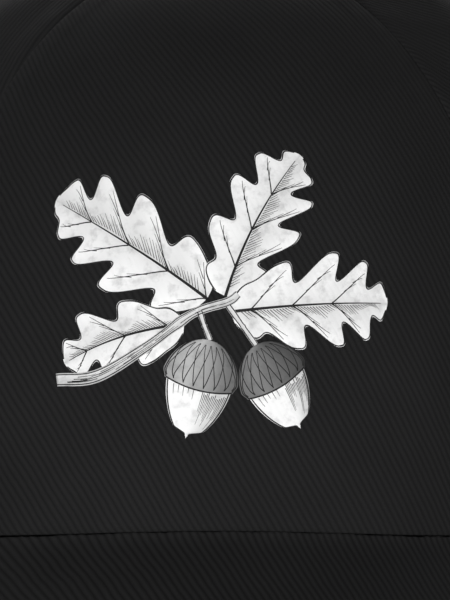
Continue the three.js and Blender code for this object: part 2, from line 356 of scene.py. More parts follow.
def addTwill(name, look):
    shader = newShader(name, 0.95, 0.01)
    cloth, wale, fuzz, height = weaveTwill(shader, look)
    shade = wale * (1.12 - look["grooveShade"]) + look["grooveShade"]
    cloud = grain(cloth, 0.05, 3.0) * (2 * look["mottle"]) + (1 - look["mottle"])
    shader.inputs["Sheen Weight"].default_value = look["sheen"]
    shader.inputs["Sheen Roughness"].default_value = 0.6
    dress(shader, shade * cloud * (fuzz * 0.7 + 0.65) * look["albedo"], height, look["relief"], blue=1.015)


def addWoven(name, albedo, warp, weft, relief, contrast):
    shader = newShader(name, 0.9, 0.2)
    cloth, u, v = clothAxes(shader)
    weave = u.cosine(warp) * v.cosine(weft) * 0.5 + 0.5
    fuzz = grain(cloth, 2.0, 3.0, 0.6)
    shade = weave * contrast + (1 - contrast / 2)
    dress(shader, shade * (fuzz + 0.5) * albedo, fuzz * 0.5 + weave, relief)


def addPlastic():
    shader = newShader("mouldedPlastic", 0.42, 0.5)
    place = objectPlace(shader)
    smear = grain(place, 60, 3.0)
    shader.id_data.links.new((smear * 0.22 + 0.34).socket, shader.inputs["Roughness"])
    dress(shader, smear * 0.010 + 0.014, grain(place, 2600), 0.00002, 0.6)


def addThread():
    shader = newShader("stitchThread", 0.6, 0.35)
    ply = grain(objectPlace(shader), 3800)
    dress(shader, ply * 0.018 + 0.012, ply, 0.00005)


def addWash():
    # pale ink, laid on like a wash: darker pools and edges, with the weave just showing through
    shader = newShader("paleWash", 0.7, 0.3)
    cloth, wale, fuzz, height = weaveTwill(shader, twillLook)
    tone = Signal(addNode(shader.id_data, "Attribute", attribute_name="tone").outputs["Fac"])
    pool = (grain(cloth, 0.32, 4.0, 0.6) - 0.5).math("SMOOTH_MAX", 0.0, 0.04)
    dress(shader, (pool * -1.5 + 1.05) * (wale * 0.015 + 0.985) * tone, height, 0.00002)


def addInk():
    shader = newShader("darkInk", 0.75, 0.25)
    cloth, wale, fuzz, height = weaveTwill(shader, twillLook)
    dress(shader, fuzz * 0.012 + 0.008, height, 0.00005)


def addFloorPaint():
    shader = newShader("paleFloor", 0.9, 0.0)
    place = objectPlace(shader)
    dress(shader, grain(place, 6, 3.0) * 0.03 + 0.80, grain(place, 500), 0.00004, 0.5)


addTwill("panelTwill", twillLook)
addTwill("brimTwill", brimTwillLook)
for weaveName, weaveLook in wovenLooks.items():
    addWoven(weaveName, *weaveLook)
addPlastic()
addThread()
addWash()
addInk()
addFloorPaint()
print("materials made")


# Mesh helpers

def makeObject(name, points, faces, material):
    # points in the cap's upright frame, in millimetres
    mesh = bpy.data.meshes.new(name)
    mesh.from_pydata(toFrame(points.reshape(-1, 3)).tolist(), [], faces)
    shape = bmesh.new()
    shape.from_mesh(mesh)
    bmesh.ops.recalc_face_normals(shape, faces=shape.faces)
    shape.to_mesh(mesh)
    shape.free()
    piece = bpy.data.objects.new(name, mesh)
    bpy.context.scene.collection.objects.link(piece)
    mesh.materials.append(materials[material])
    mesh.shade_smooth()
    return piece


def gridFaces(rows, columns, wrap=False):
    j, i = np.meshgrid(np.arange(rows - 1), np.arange(columns if wrap else columns - 1), indexing="ij")
    a = j * columns + i
    b = j * columns + (i + 1) % columns
    return np.stack([a, b, b + columns, a + columns], -1).reshape(-1, 4)


def sheetBetween(outer, inner):
    # the points and faces of a closed sheet between two grids of points
    rows, columns = outer.shape[:2]
    count = rows * columns
    grid = np.arange(count).reshape(rows, columns)
    faces = [gridFaces(rows, columns), gridFaces(rows, columns)[:, ::-1] + count]
    for rim in (grid[0], grid[-1][::-1], grid[:, 0][::-1], grid[:, -1]):
        faces.append(np.stack([rim[1:], rim[:-1], rim[:-1] + count, rim[1:] + count], -1))
    points = np.concatenate([outer.reshape(-1, 3), inner.reshape(-1, 3)])
    return points, np.concatenate(faces).tolist()


def sheetSolid(name, outer, inner, material):
    return makeObject(name, *sheetBetween(outer, inner), material)


def tubeSolid(name, rings, material, closed=False):
    # rings of points, each closed on itself, joined one to the next, with flat ends unless they close
    rows, columns = rings.shape[:2]
    last = (rows - 1) * columns
    faces = gridFaces(rows, columns, True).tolist()
    if closed:
        faces += [[last + i, last + (i + 1) % columns, (i + 1) % columns, i] for i in range(columns)]
    else:
        faces += [list(range(columns))[::-1], list(range(last, last + columns))]
    return makeObject(name, rings, faces, material)


def joined(shapes):
    # the points and faces of several shapes, as one shape's
    points, faces, start = [], [], 0
    for shape in shapes:
        points.append(shape[0])
        faces += [[n + start for n in face] for face in shape[1]]
        start += len(shape[0])
    return np.concatenate(points), faces


def setCloth(piece, clothAt):
    # gives each corner its place on the cloth, in millimetres
    mesh = piece.data
    points = np.zeros(len(mesh.vertices) * 3)
    mesh.vertices.foreach_get("co", points)
    cloth = np.stack(clothAt(fromFrame(points.reshape(-1, 3))), -1)
    corners = np.zeros(len(mesh.loops), int)
    mesh.loops.foreach_get("vertex_index", corners)
    layer = mesh.uv_layers.get("cloth") or mesh.uv_layers.new(name="cloth")
    layer.data.foreach_set("uv", cloth[corners].ravel())


def cutAway(piece, cutter):
    change = piece.modifiers.new("cut", "BOOLEAN")
    change.operation = "DIFFERENCE"
    change.solver = "MANIFOLD"
    change.object = cutter
    shown = piece.evaluated_get(bpy.context.evaluated_depsgraph_get())
    mesh = bpy.data.meshes.new_from_object(shown)
    piece.modifiers.clear()
    old, name = piece.data, piece.data.name
    piece.data = mesh
    bpy.data.meshes.remove(old)
    mesh.name = name
    bpy.data.objects.remove(cutter)


def finishPiece(piece, node=None, clothAt=None, sharp=None):
    if clothAt:
        setCloth(piece, clothAt)
    if sharp:
        piece.data.set_sharp_from_angle(angle=math.radians(sharp))
    if node:
        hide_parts(node)
    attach(piece, "root")


def atSurface(profile, angle, rise, segments, ridges=0, ridgeHeight=0.0, ridgeFrom=0.0):
    # a turned grid, (radius, height) pairs, seated on the crown; ridges raise it between spokes
    seat = outerFace(angle, rise)
    axis = unit(outward(angle, rise))  # which comes out too short at the very top
    side = unit(np.cross([0.0, 0.0, 1.0] if abs(axis[2]) < 0.95 else [0.0, 1.0, 0.0], axis))
    turn = np.linspace(0, 2 * np.pi, segments, endpoint=False)
    spoke = side * np.cos(turn)[:, None] + np.cross(axis, side) * np.sin(turn)[:, None]
    lift = ridgeHeight * np.abs(np.cos(turn * ridges / 2))
    return np.stack([seat + spoke * radius + axis * (height + lift * np.sign(height - ridgeFrom))[:, None]
                     for radius, height in profile])


stitchLook = {
    "pitch": 3.1,
    "length": 2.5,
    "width": 0.46,
    "height": 0.30,
    "sides": 7,
    "shares": np.array([0.0, 0.12, 0.35, 0.65, 0.88, 1.0]),  # sections along a stitch
    "swell": np.array([0.35, 0.8, 1.0, 1.0, 0.8, 0.35]),
    "drop": np.array([-0.35, -0.05, 0.06, 0.06, -0.05, -0.35]),
}


def stitchRow(path, up, pitch=stitchLook["pitch"], width=stitchLook["width"]):
    # one row of raised lockstitches along a path
    look = stitchLook
    travel = travelled(path)
    count = max(int(travel[-1] / pitch), 1)
    starts = (np.arange(count) + 0.5) * travel[-1] / count - look["length"] / 2
    at = starts[:, None] + look["shares"] * look["length"]
    spot, tops = (np.stack([np.interp(at, travel, line[:, k]) for k in range(3)], -1) for line in (path, up))
    tops = unit(tops)
    side = unit(np.cross(unit(np.gradient(spot, axis=1)), tops))
    spot, side, tops = ((spot + tops * look["drop"][:, None])[:, :, None], side[:, :, None], tops[:, :, None])
    turn = np.linspace(0, 2 * np.pi, look["sides"], endpoint=False)[:, None]
    swell = look["swell"][:, None, None] / 2
    ring = spot + side * np.cos(turn) * width * swell + tops * np.sin(turn) * look["height"] * swell
    sides, size = look["sides"], len(look["shares"]) * look["sides"]
    faces = gridFaces(len(look["shares"]), sides, True).tolist()
    faces += [list(range(sides))[::-1], list(range(size - sides, size))]
    return ring.reshape(-1, 3), [[n + k * size for n in face] for k in range(count) for face in faces]


def addStitches(name, rows):
    finishPiece(makeObject(name, *joined(rows), "stitchThread"))


# Panels of the crown

panelLook = {
    "thickness": 1.25,
    "seamRound": 1.4,
    "seamDrop": 0.65,
    "hemRound": 1.7,
    "hemDrop": 1.0,
    "hemStitch": 3.6,  # height of the stitches above the hem
    "hemThread": (3.0, 0.42),  # their pitch and width
    "browRound": 1.9,  # the front panel's lower edge, where it meets the brim
    "browDrop": 0.72,
    "allowance": 7.0,  # the turned cloth beside each seam lifts the panel a little
    "allowanceLift": 0.14,
    "pucker": 0.10,  # height, pitch and reach of the waves along a seam
    "puckerPitch": 6.3,
    "puckerReach": 4.5,
    "dentSize": 52,
    "fineDent": 0.18,  # a finer unevenness, as a share of the panel's own
    "fineSize": 15,
    "eyeletHole": 3.0,
    "eyeletDip": 0.35,
    "eyeletReach": 7.5,
    "spacing": 0.95,
    "skewStart": 8.0,  # left of here the front panel's cloth was pulled out of square
    "skew": 0.0075,
    "swellAt": 112.0,  # how far up the cloth a panel's swell is fullest
    "swellSpread": 24.0,
    "swellMargin": 24.0,  # beside each seam, where it fades
    "sharp": 50,
}

eyeletSpots = [("Left", 84, 72), ("BackLeft", 146, 76), ("BackRight", -146, 76), ("Right", -84, 72)]
# the last three values are how uneven the cloth is, its seed and how far it swells at the shoulder
panelParts = ("name", "node", "from", "to", "dent", "seed", "swell")
panelList = [dict(zip(panelParts, values)) for values in (
    ("frontPanel", "front_panel", -crown["frontSeam"], crown["frontSeam"], 0.22, 3, 0.0),
    ("leftSidePanel", "side_panel_left", crown["frontSeam"], crown["rearSeam"], 0.85, 11, 2.6),
    ("rightSidePanel", "side_panel_right", -crown["rearSeam"], -crown["frontSeam"], 0.85, 17, 1.0),
    ("leftBackPanel", "back_panel_left", crown["rearSeam"], math.pi, 0.85, 23, 0.0),
    ("rightBackPanel", "back_panel_right", math.pi, 2 * math.pi - crown["rearSeam"], 0.85, 29, 0.0),
)]
frontPanel = panelList[0]


class ClothMap:
    # flat cloth coordinates of one panel: across from its middle line, and up from the lower edge
    def __init__(self, middle):
        self.middle = middle
        self.rises = np.linspace(0, np.pi / 2 - 1e-3, 700)
        self.climb = travelled(outerFace(middle, self.rises))
        self.turns = np.linspace(-1.3, 1.3, 900)
        girth = travelled(outerFace(middle + self.turns, 0.0))
        self.girth = girth - np.interp(0, self.turns, girth)

    def flat(self, angle, rise):
        turn = (angle - self.middle + np.pi) % (2 * np.pi) - np.pi
        u = np.interp(turn, self.turns, self.girth) * reachAt(self.middle, rise)
        v = np.interp(rise, self.rises, self.climb) + edgeHeight(angle) * (1 - np.sin(rise))
        return u, v

    def crown(self, u, v):
        # the angle and rise of a place on the cloth, found by a few rounds of correction
        angle, rise = np.full(np.shape(u), float(self.middle)), np.interp(v, self.climb, self.rises)
        for _ in range(8):
            low = edgeHeight(angle) * (1 - np.sin(rise))
            rise = np.interp(v - low, self.climb, self.rises)
            turn = np.interp(u / np.maximum(reachAt(self.middle, rise), 1e-3), self.girth, self.turns)
            angle = self.middle + turn
        return angle, rise


def rounded(distance, radius, drop):
    share = np.clip(1 - distance / radius, 0, 1)
    return drop * (1 - np.sqrt(1 - share ** 2))


def panelSwell(panel, angle, rise):
    # the side panels are a little fuller at the shoulder than the plain form, one more than the other
    u, v = panel["cloth"].flat(angle, rise)
    nearest = np.minimum(*(np.abs(seamDistance(angle, rise, panel[end])) for end in ("from", "to")))
    high = np.exp(-((v - panelLook["swellAt"]) / panelLook["swellSpread"]) ** 2)
    return panel["swell"] * high * smooth(0, panelLook["swellMargin"], nearest)


def panelRelief(panel, angle, rise):
    # how far the cloth stands out from the plain form of the crown
    look = panelLook
    u, v = panel["cloth"].flat(angle, rise)
    height = outerFace(angle, rise)[..., 2] - edgeHeight(angle)
    relief = panelSwell(panel, angle, rise)
    nearest = np.full(np.shape(u), 1e3)
    for k, seam in enumerate((panel["from"], panel["to"])):
        s = np.abs(seamDistance(angle, rise, seam))
        nearest = np.minimum(nearest, s)
        lift = smooth(0.8, 2.4, s) * (1 - smooth(look["allowance"] - 1, look["allowance"] + 0.8, s))
        wave = np.sin(v * 2 * np.pi / look["puckerPitch"] + 1.3 * np.sin(v / 9.0 + k))
        wave = wave * np.exp(-s / look["puckerReach"]) * smooth(0.3, 2.0, s)
        relief = relief - rounded(s, look["seamRound"], look["seamDrop"])
        relief = relief + look["allowanceLift"] * lift + look["pucker"] * wave
    atBrim = 1.0 if panel is frontPanel else 1 - smooth(0.95, 1.05, np.abs(angle) / crown["brimEnd"])
    relief = relief - rounded(height, look["hemRound"], look["hemDrop"]) * (1 - atBrim)
    relief = relief - rounded(height, look["browRound"], look["browDrop"]) * atBrim
    calm = smooth(0, 20, nearest) * smooth(2, 26, height) * smooth(0, 30, crown["height"] - height)
    fine = look["fineDent"] * ripple(u, v, look["fineSize"], panel["seed"] + 1) * smooth(0, 8, nearest)
    relief = relief + panel["dent"] * (ripple(u, v, look["dentSize"], panel["seed"]) * calm + fine)
    for _, degrees, up in eyeletSpots:
        turn = math.radians(degrees)
        pu, pv = panel["cloth"].flat(np.array(turn), riseAt(turn, up))
        gap = np.hypot(u - pu, v - pv)
        relief = relief - look["eyeletDip"] * np.exp(-((gap / look["eyeletReach"]) ** 2)) * (gap < 30)
    return relief


def panelPoint(panel, angle, rise, lift=0.0):
    return crownPoint(angle, rise, -panelRelief(panel, angle, rise) - lift)


def panelGrid(panel):
    # angles and rises, closer together at the seams and the lower edge
    cloth, spacing = panel["cloth"], panelLook["spacing"]
    edge = np.array([0.0, 0.12, 0.3, 0.55, 0.85, 1.2, 1.6, 2.1, 2.8])
    top = np.interp(crown["topHole"], cloth.rises, cloth.climb)
    steps = max(int((top - edge[-1]) / spacing), 2) + 1
    climb = np.concatenate([edge, np.linspace(edge[-1], top, steps)[1:]])
    rises = np.minimum(np.interp(climb, cloth.climb, cloth.rises), crown["topHole"])[:, None]
    width = np.interp(panel["to"] - cloth.middle, cloth.turns, cloth.girth) * 2
    room = np.minimum(1, reachAt(cloth.middle, rises) * width / 9.0)
    gap = 0.04
    left = besideSeam(panel["from"], rises, gap + edge * room)
    right = besideSeam(panel["to"], rises, -gap - edge[::-1] * room)
    middle = np.linspace(0, 1, int(width / spacing))[1:-1]
    between = left[:, -1:] + (right[:, :1] - left[:, -1:]) * middle
    angles = np.concatenate([left, between, right], axis=1)
    return angles, np.broadcast_to(rises, angles.shape)


archLook = {"halfWidth": 38.0, "height": 43.0, "squareness": 2.3}


def backAngle(x, height):
    angle = np.full(np.broadcast(x, height).shape, np.pi)
    for _ in range(14):
        angle = np.pi - np.arcsin(np.clip(x / (crown["halfWidth"] * reachAt(angle, riseAt(angle, height))), -1, 1))
    return angle


def archPoint(turn, out):
    across = np.sign(np.cos(turn)) * np.abs(np.cos(turn)) ** (2 / archLook["squareness"])
    up = np.maximum(np.sin(turn), 0) ** (2 / archLook["squareness"])
    return (archLook["halfWidth"] + out) * across, (archLook["height"] + out) * up


def archCutter():
    x, up = archPoint(np.linspace(0, np.pi, 60), 0.0)
    x = np.concatenate([[x[0]], x, [x[-1]]])
    z = np.concatenate([[-30.0], up - crown["browDip"], [-30.0]])
    rings = np.stack([np.stack([x, np.full_like(x, y), z], -1) for y in (50.0, 130.0)])
    return tubeSolid("cutter", rings, "stitchThread")


def panelCloth(panel, points):
    u, v = panel["cloth"].flat(*crownAngles(points))
    if panel is frontPanel:
        v = v + panelLook["skew"] * np.maximum(-u - panelLook["skewStart"], 0) ** 2
    shift = panel["seed"] * 0.21
    return u + shift, v + shift


def addPanels():
    look = panelLook
    for panel in panelList:
        panel["cloth"] = ClothMap((panel["from"] + panel["to"]) / 2)
        angles, rises = panelGrid(panel)
        outer = panelPoint(panel, angles, rises)
        inner = crownPoint(angles, rises, look["thickness"] - panelSwell(panel, angles, rises))
        piece = sheetSolid(panel["name"], outer, inner, "panelTwill")
        for _, degrees, up in eyeletSpots:
            turn = math.radians(degrees)
            ahead = turn + (2 * math.pi if turn < panel["from"] - math.pi else 0)
            if panel["from"] < ahead < panel["to"]:
                hole = [(look["eyeletHole"], -6.0), (look["eyeletHole"], 6.0)]
                rings = atSurface(hole, turn, riseAt(turn, up), 40)
                cutAway(piece, tubeSolid("cutter", rings, "stitchThread"))
        if math.pi in (panel["from"], panel["to"]):
            cutAway(piece, archCutter())
        finishPiece(piece, panel["node"], lambda points: panelCloth(panel, points), look["sharp"])


def addHemStitches():
    # along the folded hem of the side and back panels, from the end of the brim to the back opening
    gap = 0.02
    start, seam = crown["brimEnd"] + gap, crown["rearSeam"]
    opening = float(backAngle(archLook["halfWidth"] + 9.5, 3.0))
    turns = [(start, seam - gap), (gap - seam, -start), (seam + gap, opening),
             (2 * math.pi - opening, 2 * math.pi - seam - gap)]
    rows = []
    for panel, (first, last) in zip(panelList[1:], turns):
        angle = np.linspace(first, last, 260)
        rise = riseAt(angle, panelLook["hemStitch"])
        rows.append(stitchRow(panelPoint(panel, angle, rise, 0.05), outward(angle, rise), *panelLook["hemThread"]))
    addStitches("hemStitches", rows)


addPanels()
addHemStitches()
print("crown panels made")


# Brim

brimLook = {
    "halfWidth": 88.3,
    "shoulder": -70.0,
    "front": -168.5,
    "fullness": 2.25,
    "corner": (78.8, -38.2),
    "cornerFrom": 0.8,  # where along the half rim its corner begins
    "slope": 0.364,
    "curl": 0.0041,
    "thickness": 1.5,
    "clearance": 0.3,
    "bandDepth": 2.65,
    "rimRound": 1.25,
    "rimDrop": 0.85,
    "rollStart": 1.6,
    "rollRise": 0.25,
    "rolls": [(0.62, 1.6), (0.85, 5.5)],  # the cloth rolls up out of the seam: heights and widths
    "stitchRows": [2.6, 8.6, 14.6, 20.6, 26.6],  # distances in from the rim
    "grooveDepth": 0.16,
    "grooveWidth": 0.75,
    "dent": 0.10,
    "dentSize": 34,
    "coverGap": 0.06,  # between the two covers
    "stitchRoom": 3.4,  # a row ends where the brim behind it is narrower than this
    "clothStretch": 1.05,
    "clothShift": 400,
    "sharp": 50,
}


def brimOutline(share):
    look = brimLook
    turn, shoulder, corner = look["cornerFrom"], look["shoulder"], look["corner"]
    first = np.clip(share / turn, 0, 1) * np.pi / 2
    second = np.clip((share - turn) / (1 - turn), 0, 1) * np.pi / 2
    power = 2 / look["fullness"]
    x = np.where(share <= turn, look["halfWidth"] * np.sin(first) ** power,
                 corner[0] + (look["halfWidth"] - corner[0]) * np.cos(second))
    y = np.where(share <= turn, shoulder + (look["front"] - shoulder) * np.maximum(np.cos(first), 0) ** power,
                 shoulder + (corner[1] - shoulder) * np.sin(second))
    return x, y


def brimPoint(along, out):
    look = brimLook
    along, out = np.broadcast_arrays(along, out)
    share = np.abs(along)
    root = wallPoint(along * crown["brimEnd"], -look["clearance"], look["bandDepth"] - look["clearance"])
    x, y = brimOutline(share)
    free = look["slope"] * (y + crown["halfLength"]) - look["curl"] * x * x
    fixed = edgeHeight(crown["brimEnd"]) - look["clearance"]
    height = free + (fixed - free) * smooth(look["cornerFrom"], 1, share)
    rim = np.stack([np.sign(along) * x, y, height], -1)
    return root + (rim - root) * out[..., None]


def brimDepth(along):
    return np.linalg.norm(brimPoint(along, 1.0) - brimPoint(along, 0.0), axis=1)


def brimUp(along, out):
    at = brimPoint(along, out)
    flat = np.ones(at.shape[:-1])
    square = unit(np.stack([2 * brimLook["curl"] * at[..., 0], -brimLook["slope"] * flat, flat], -1))
    blend = smooth(0, 0.25, out * flat)[..., None]
    return unit(np.array([0.0, 0.0, 1.0]) * (1 - blend) + square * blend)


def brimRelief(fromRoot, fromRim, onTop, x):
    look = brimLook
    relief = -rounded(fromRim, look["rimRound"], look["rimDrop"])
    for row in look["stitchRows"]:
        relief = relief - look["grooveDepth"] * np.exp(-(((fromRim - row) / look["grooveWidth"]) ** 2))
    if onTop:
        past = np.maximum(fromRoot - look["rollStart"], 0)
        roll = sum(high * np.exp(-past / wide) for high, wide in look["rolls"])
        roll = roll * (1 - np.exp(-past / look["rollRise"]))
        pull = 0.07 * np.sin(x * 2 * np.pi / 2.7) + 0.08 * np.sin(x * 2 * np.pi / 11 + np.sin(x / 7))
        relief = relief + roll * (1 + pull * np.exp(-past / 1.2))
    dent = look["dent"] * ripple(x, fromRim, look["dentSize"], 41 if onTop else 43)
    return relief + dent * smooth(0, 6, fromRim)


def rimStations(count):
    # values of along that are evenly spaced along the rim
    fine = np.linspace(-1, 1, 4001)
    travel = travelled(brimPoint(fine, 1.0))
    return np.interp(np.linspace(0, travel[-1], count), travel, fine)


def addBrim():
    look = brimLook
    along = rimStations(330)
    length = brimDepth(along)
    rim = np.array([2.2, 1.7, 1.3, 0.95, 0.65, 0.4, 0.2, 0.07, 0.0])
    inner = 1 - np.minimum(rim[0] / length, 0.5)
    out = np.stack([share * inner for share in np.linspace(0, 1, 128) ** 1.22]
                   + [1 - np.minimum(r / length, 0.5 * r / rim[0]) for r in rim[1:]])
    base, up = brimPoint(along, out), brimUp(along, out)
    top, bottom = (brimRelief(out * length, (1 - out) * length, onTop, base[..., 0]) for onTop in (True, False))
    lowest = 2 * look["thickness"] + look["clearance"]
    middle, gap = lowest / 2, look["coverGap"] / 2

    def clothAt(points):
        return points[..., 0], points[..., 1] * look["clothStretch"] + look["clothShift"]

    for name, node, upper, lower in (
            ("brimTop", "brim_upper", top, gap - middle),
            ("brimUnderside", "brim_lower", -gap - middle, -lowest - bottom)):
        faces = [base + up * (level * np.ones(out.shape))[..., None] for level in (upper, lower)]
        piece = sheetSolid(name, *faces, "brimTwill")
        finishPiece(piece, node, clothAt, look["sharp"])


def addBrimStitches():
    look = brimLook
    along = rimStations(700)
    length = brimDepth(along)
    for name, side in (("brimTopStitches", 1), ("brimUndersideStitches", -1)):
        rows = []
        for row in look["stitchRows"]:
            keep = length > row + look["stitchRoom"]
            a, out = along[keep], 1 - row / length[keep]
            depth = 0.0 if side > 0 else 2 * look["thickness"] + look["clearance"]
            relief = brimRelief(out * length[keep], np.full(a.shape, row), side > 0, brimPoint(a, out)[:, 0])
            up = brimUp(a, out)
            rows.append(stitchRow(brimPoint(a, out) + up * (side * (relief + 0.10) - depth)[:, None], side * up))
        addStitches(name, rows)


addBrim()
addBrimStitches()
print("brim made")


# Eyelets and the button, turned from (radius, height) pairs

eyeletProfile = [
    (1.75, -1.9), (1.70, -0.8), (1.72, 0.3), (1.95, 0.95), (2.45, 1.30), (3.10, 1.38), (3.75, 1.15),
    (4.25, 0.70), (4.50, 0.25), (4.45, -0.15), (3.30, -0.60), (3.20, -1.30), (4.00, -1.60), (3.80, -2.10),
    (3.00, -2.35), (2.20, -2.25),
]
eyeletLook = {"segments": 352, "ridges": 44, "ridgeHeight": 0.11, "ridgeFrom": -1.0}  # the threads stand out
eyeletNodes = ("eyelet_side_left", "eyelet_back_left", "eyelet_back_right", "eyelet_side_right")
buttonProfile = [
    (0.02, -3.0), (3.0, -3.0), (6.0, -3.0), (6.3, -2.8), (6.4, -2.3), (6.2, -1.8), (4.0, -1.6), (2.6, -1.5),
    (2.6, 0.3), (5.0, 0.36), (6.9, 0.36), (7.45, 0.55), (7.72, 1.0), (7.72, 1.6), (7.45, 2.3), (6.9, 3.0),
    (6.1, 3.7), (5.0, 4.3), (3.7, 4.75), (2.2, 5.0), (1.0, 5.08), (0.02, 5.1),
]
buttonLook = {"segments": 120, "pleats": 17, "pleatHeight": 0.14, "clothStretch": 1.1, "sharp": 50}


def addEyelets():
    for (label, degrees, up), node in zip(eyeletSpots, eyeletNodes):
        turn = math.radians(degrees)
        rings = atSurface(eyeletProfile, turn, riseAt(turn, up), **eyeletLook)
        finishPiece(tubeSolid("eyelet" + label, rings, "stitchThread", closed=True), node)


def addButton():
    look = buttonLook
    rings = atSurface(buttonProfile, 0.0, np.array(np.pi / 2), look["segments"])
    away = rings - outerFace(0.0, np.pi / 2)
    radius = np.hypot(away[..., 0], away[..., 1])
    turn = np.arctan2(away[..., 1], away[..., 0])
    pleat = look["pleatHeight"] * np.sin(turn * look["pleats"] + 1.2 * np.sin(turn * 3))
    pleat = pleat * smooth(5.2, 7.6, radius) * (away[..., 2] > 0.3)
    rings[..., 0] += np.cos(turn) * pleat
    rings[..., 1] += np.sin(turn) * pleat
    piece = tubeSolid("topButton", rings, "panelTwill")
    stretch = look["clothStretch"]
    finishPiece(piece, "top_button",
                lambda points: (points[..., 0] * stretch, points[..., 1] * stretch), look["sharp"])


addEyelets()
addButton()
print("eyelets and button made")


# Back opening: its binding and the snap strap

bindingProfile = [  # distance out from the opening's edge, and depth in the wall
    (6.7, -0.02), (6.75, -0.30), (6.4, -0.46), (4.6, -0.50), (2.4, -0.52), (0.9, -0.52), (0.0, -0.44),
    (-0.55, -0.10), (-0.75, 0.55), (-0.55, 1.25), (0.0, 1.55), (0.9, 1.62), (3.4, 1.62), (6.4, 1.62),
    (7.0, 1.58), (7.1, 1.35), (6.6, 1.28), (3.0, 1.27), (0.3, 1.25), (0.05, 0.6), (0.3, 0.0), (3.0, -0.01),
]


bindingLook = {
    "ends": 3.0,  # degrees round the arch before it starts
    "sections": 220,
    "wave": 0.10,  # unevenness of its outer edge
    "waves": 23,
    "stitchOut": 5.2,
    "stitchDepths": ((-0.60, 1), (1.72, -1)),  # outside and inside, with the side they face
    "thread": (2.6, 0.4),
}


def archSurface(turn, out, depth):
    x, up = archPoint(turn, out)
    return wallPoint(backAngle(x, up), up, depth)


def addBinding():
    look = bindingLook
    turn = np.radians(np.linspace(look["ends"], 180 - look["ends"], look["sections"]))
    wave = look["wave"] * np.sin(np.linspace(0, 1, look["sections"]) * 2 * np.pi * look["waves"])
    rings = np.stack([archSurface(turn, out + wave * (out > 5), depth) for out, depth in bindingProfile], axis=1)
    piece = tubeSolid("archBinding", rings, "wovenTape")
    finishPiece(piece, "arch_binding", lambda points: (points[..., 0], points[..., 2]))
    x, up = archPoint(turn, look["stitchOut"])
    angle = backAngle(x, up)
    square = outward(angle, riseAt(angle, up))
    addStitches("bindingStitches", [stitchRow(wallPoint(angle, up, depth), side * square, *look["thread"])
                                    for depth, side in look["stitchDepths"]])


strapLook = {
    "low": 1.6,
    "height": 17.0,
    "thickness": 1.4,
    "reach": 51.0,
    "radius": 84.0,
    "pitch": 8.5,
    "firstPeg": -30.0,
    "pegRadius": 2.2,
    "holeRadius": 2.65,
    "depth": 1.65,
    "clearance": 0.3,
    "endPast": 6.0,  # how far each half runs on past its last hole or peg
    "sharp": 40,
}


def strapSolid(name, start, end, depthAt):
    look = strapLook
    half = look["height"] / 2
    along = (start + (end - start) * np.sin(np.linspace(0, 1, 190) * np.pi / 2))[:, None]
    short = np.clip(1 - np.abs(end - along) / half, 0, 1)
    tall = np.maximum(half * np.sqrt(np.maximum(1 - short ** 2, 0)), 0.6)
    # the section is a flat oval with straight faces
    turn = np.linspace(0, 2 * np.pi, 64, endpoint=False)
    c, s = np.cos(turn), np.sin(turn)
    height = look["low"] + half + np.sign(c) * np.abs(c) ** 0.28 * tall
    depth = depthAt(along) + look["thickness"] / 2 * (1 - np.sign(s) * np.abs(s) ** 0.55)
    return tubeSolid(name, wallPoint(np.pi - along / look["radius"], height, depth), "mouldedPlastic")


def turnedOnStrap(name, along, profile, depth):
    # a peg or cutter through the strap; heights are outward from the strap's outer face
    angle = np.array(np.pi - along / strapLook["radius"])
    rise = riseAt(angle, strapLook["low"] + strapLook["height"] / 2)
    return tubeSolid(name, atSurface([(r, z - depth) for r, z in profile], angle, rise, 36), "mouldedPlastic")


def addStrap():
    look = strapLook
    under = look["depth"] + look["thickness"] + look["clearance"]

    def innerDepth(along):
        return under + (look["depth"] - under) * smooth(20, 40, -along)

    pegs = look["firstPeg"] + look["pitch"] * np.arange(5)
    outer = strapSolid("outerStrap", look["reach"], pegs[2] - look["endPast"], lambda along: look["depth"])
    for along in pegs[2] + look["pitch"] * np.arange(6):
        hole = [(look["holeRadius"], -4), (look["holeRadius"], 3)]
        cutAway(outer, turnedOnStrap("cutter", along, hole, look["depth"]))
    finishPiece(outer, "strap_outer", sharp=look["sharp"])
    inner = strapSolid("innerStrap", -look["reach"], pegs[4] + look["endPast"], innerDepth)
    finishPiece(inner, "strap_inner", sharp=look["sharp"])
    r = look["pegRadius"]
    shape = [(0.02, -0.4), (r * 0.8, -0.4), (r * 0.8, 0.9), (r, 1.35), (r, 1.75), (r * 0.86, 2.1),
             (r * 0.5, 2.32), (0.02, 2.4)]
    for k, along in enumerate(pegs):
        peg = turnedOnStrap(f"strapPeg{k + 1}", along, shape, float(innerDepth(along)))
        finishPiece(peg, "strap_inner", sharp=look["sharp"])


addBinding()
addStrap()
print("back opening made")


# Inside of the crown

insideLook = {
    "tapeDepth": 1.65,
    "tapeThickness": 0.6,
    "tapeHalfWidth": 5.6,
    "tapeTop": math.radians(85.2),
    "tapeStart": 5.0,
    "tapeStitch": 3.9,  # from the seam to each row of stitches
    "tapeThread": (2.8, 0.4),  # their pitch and width
    "bandDepth": 2.65,
    "bandThickness": 1.1,
    "bandHeight": 33.0,
    "bandDrop": 3.7,
    "bandSeam": 4.0,
    "bandStitches": (3.0, 29.5),  # heights of the rows
    "bandGrooves": (0.14, 0.10),  # how deep each pulls in
    "bandThread": (2.9, 0.42),
    "bandRadius": 88.0,
    "footDepth": 1.55,
}


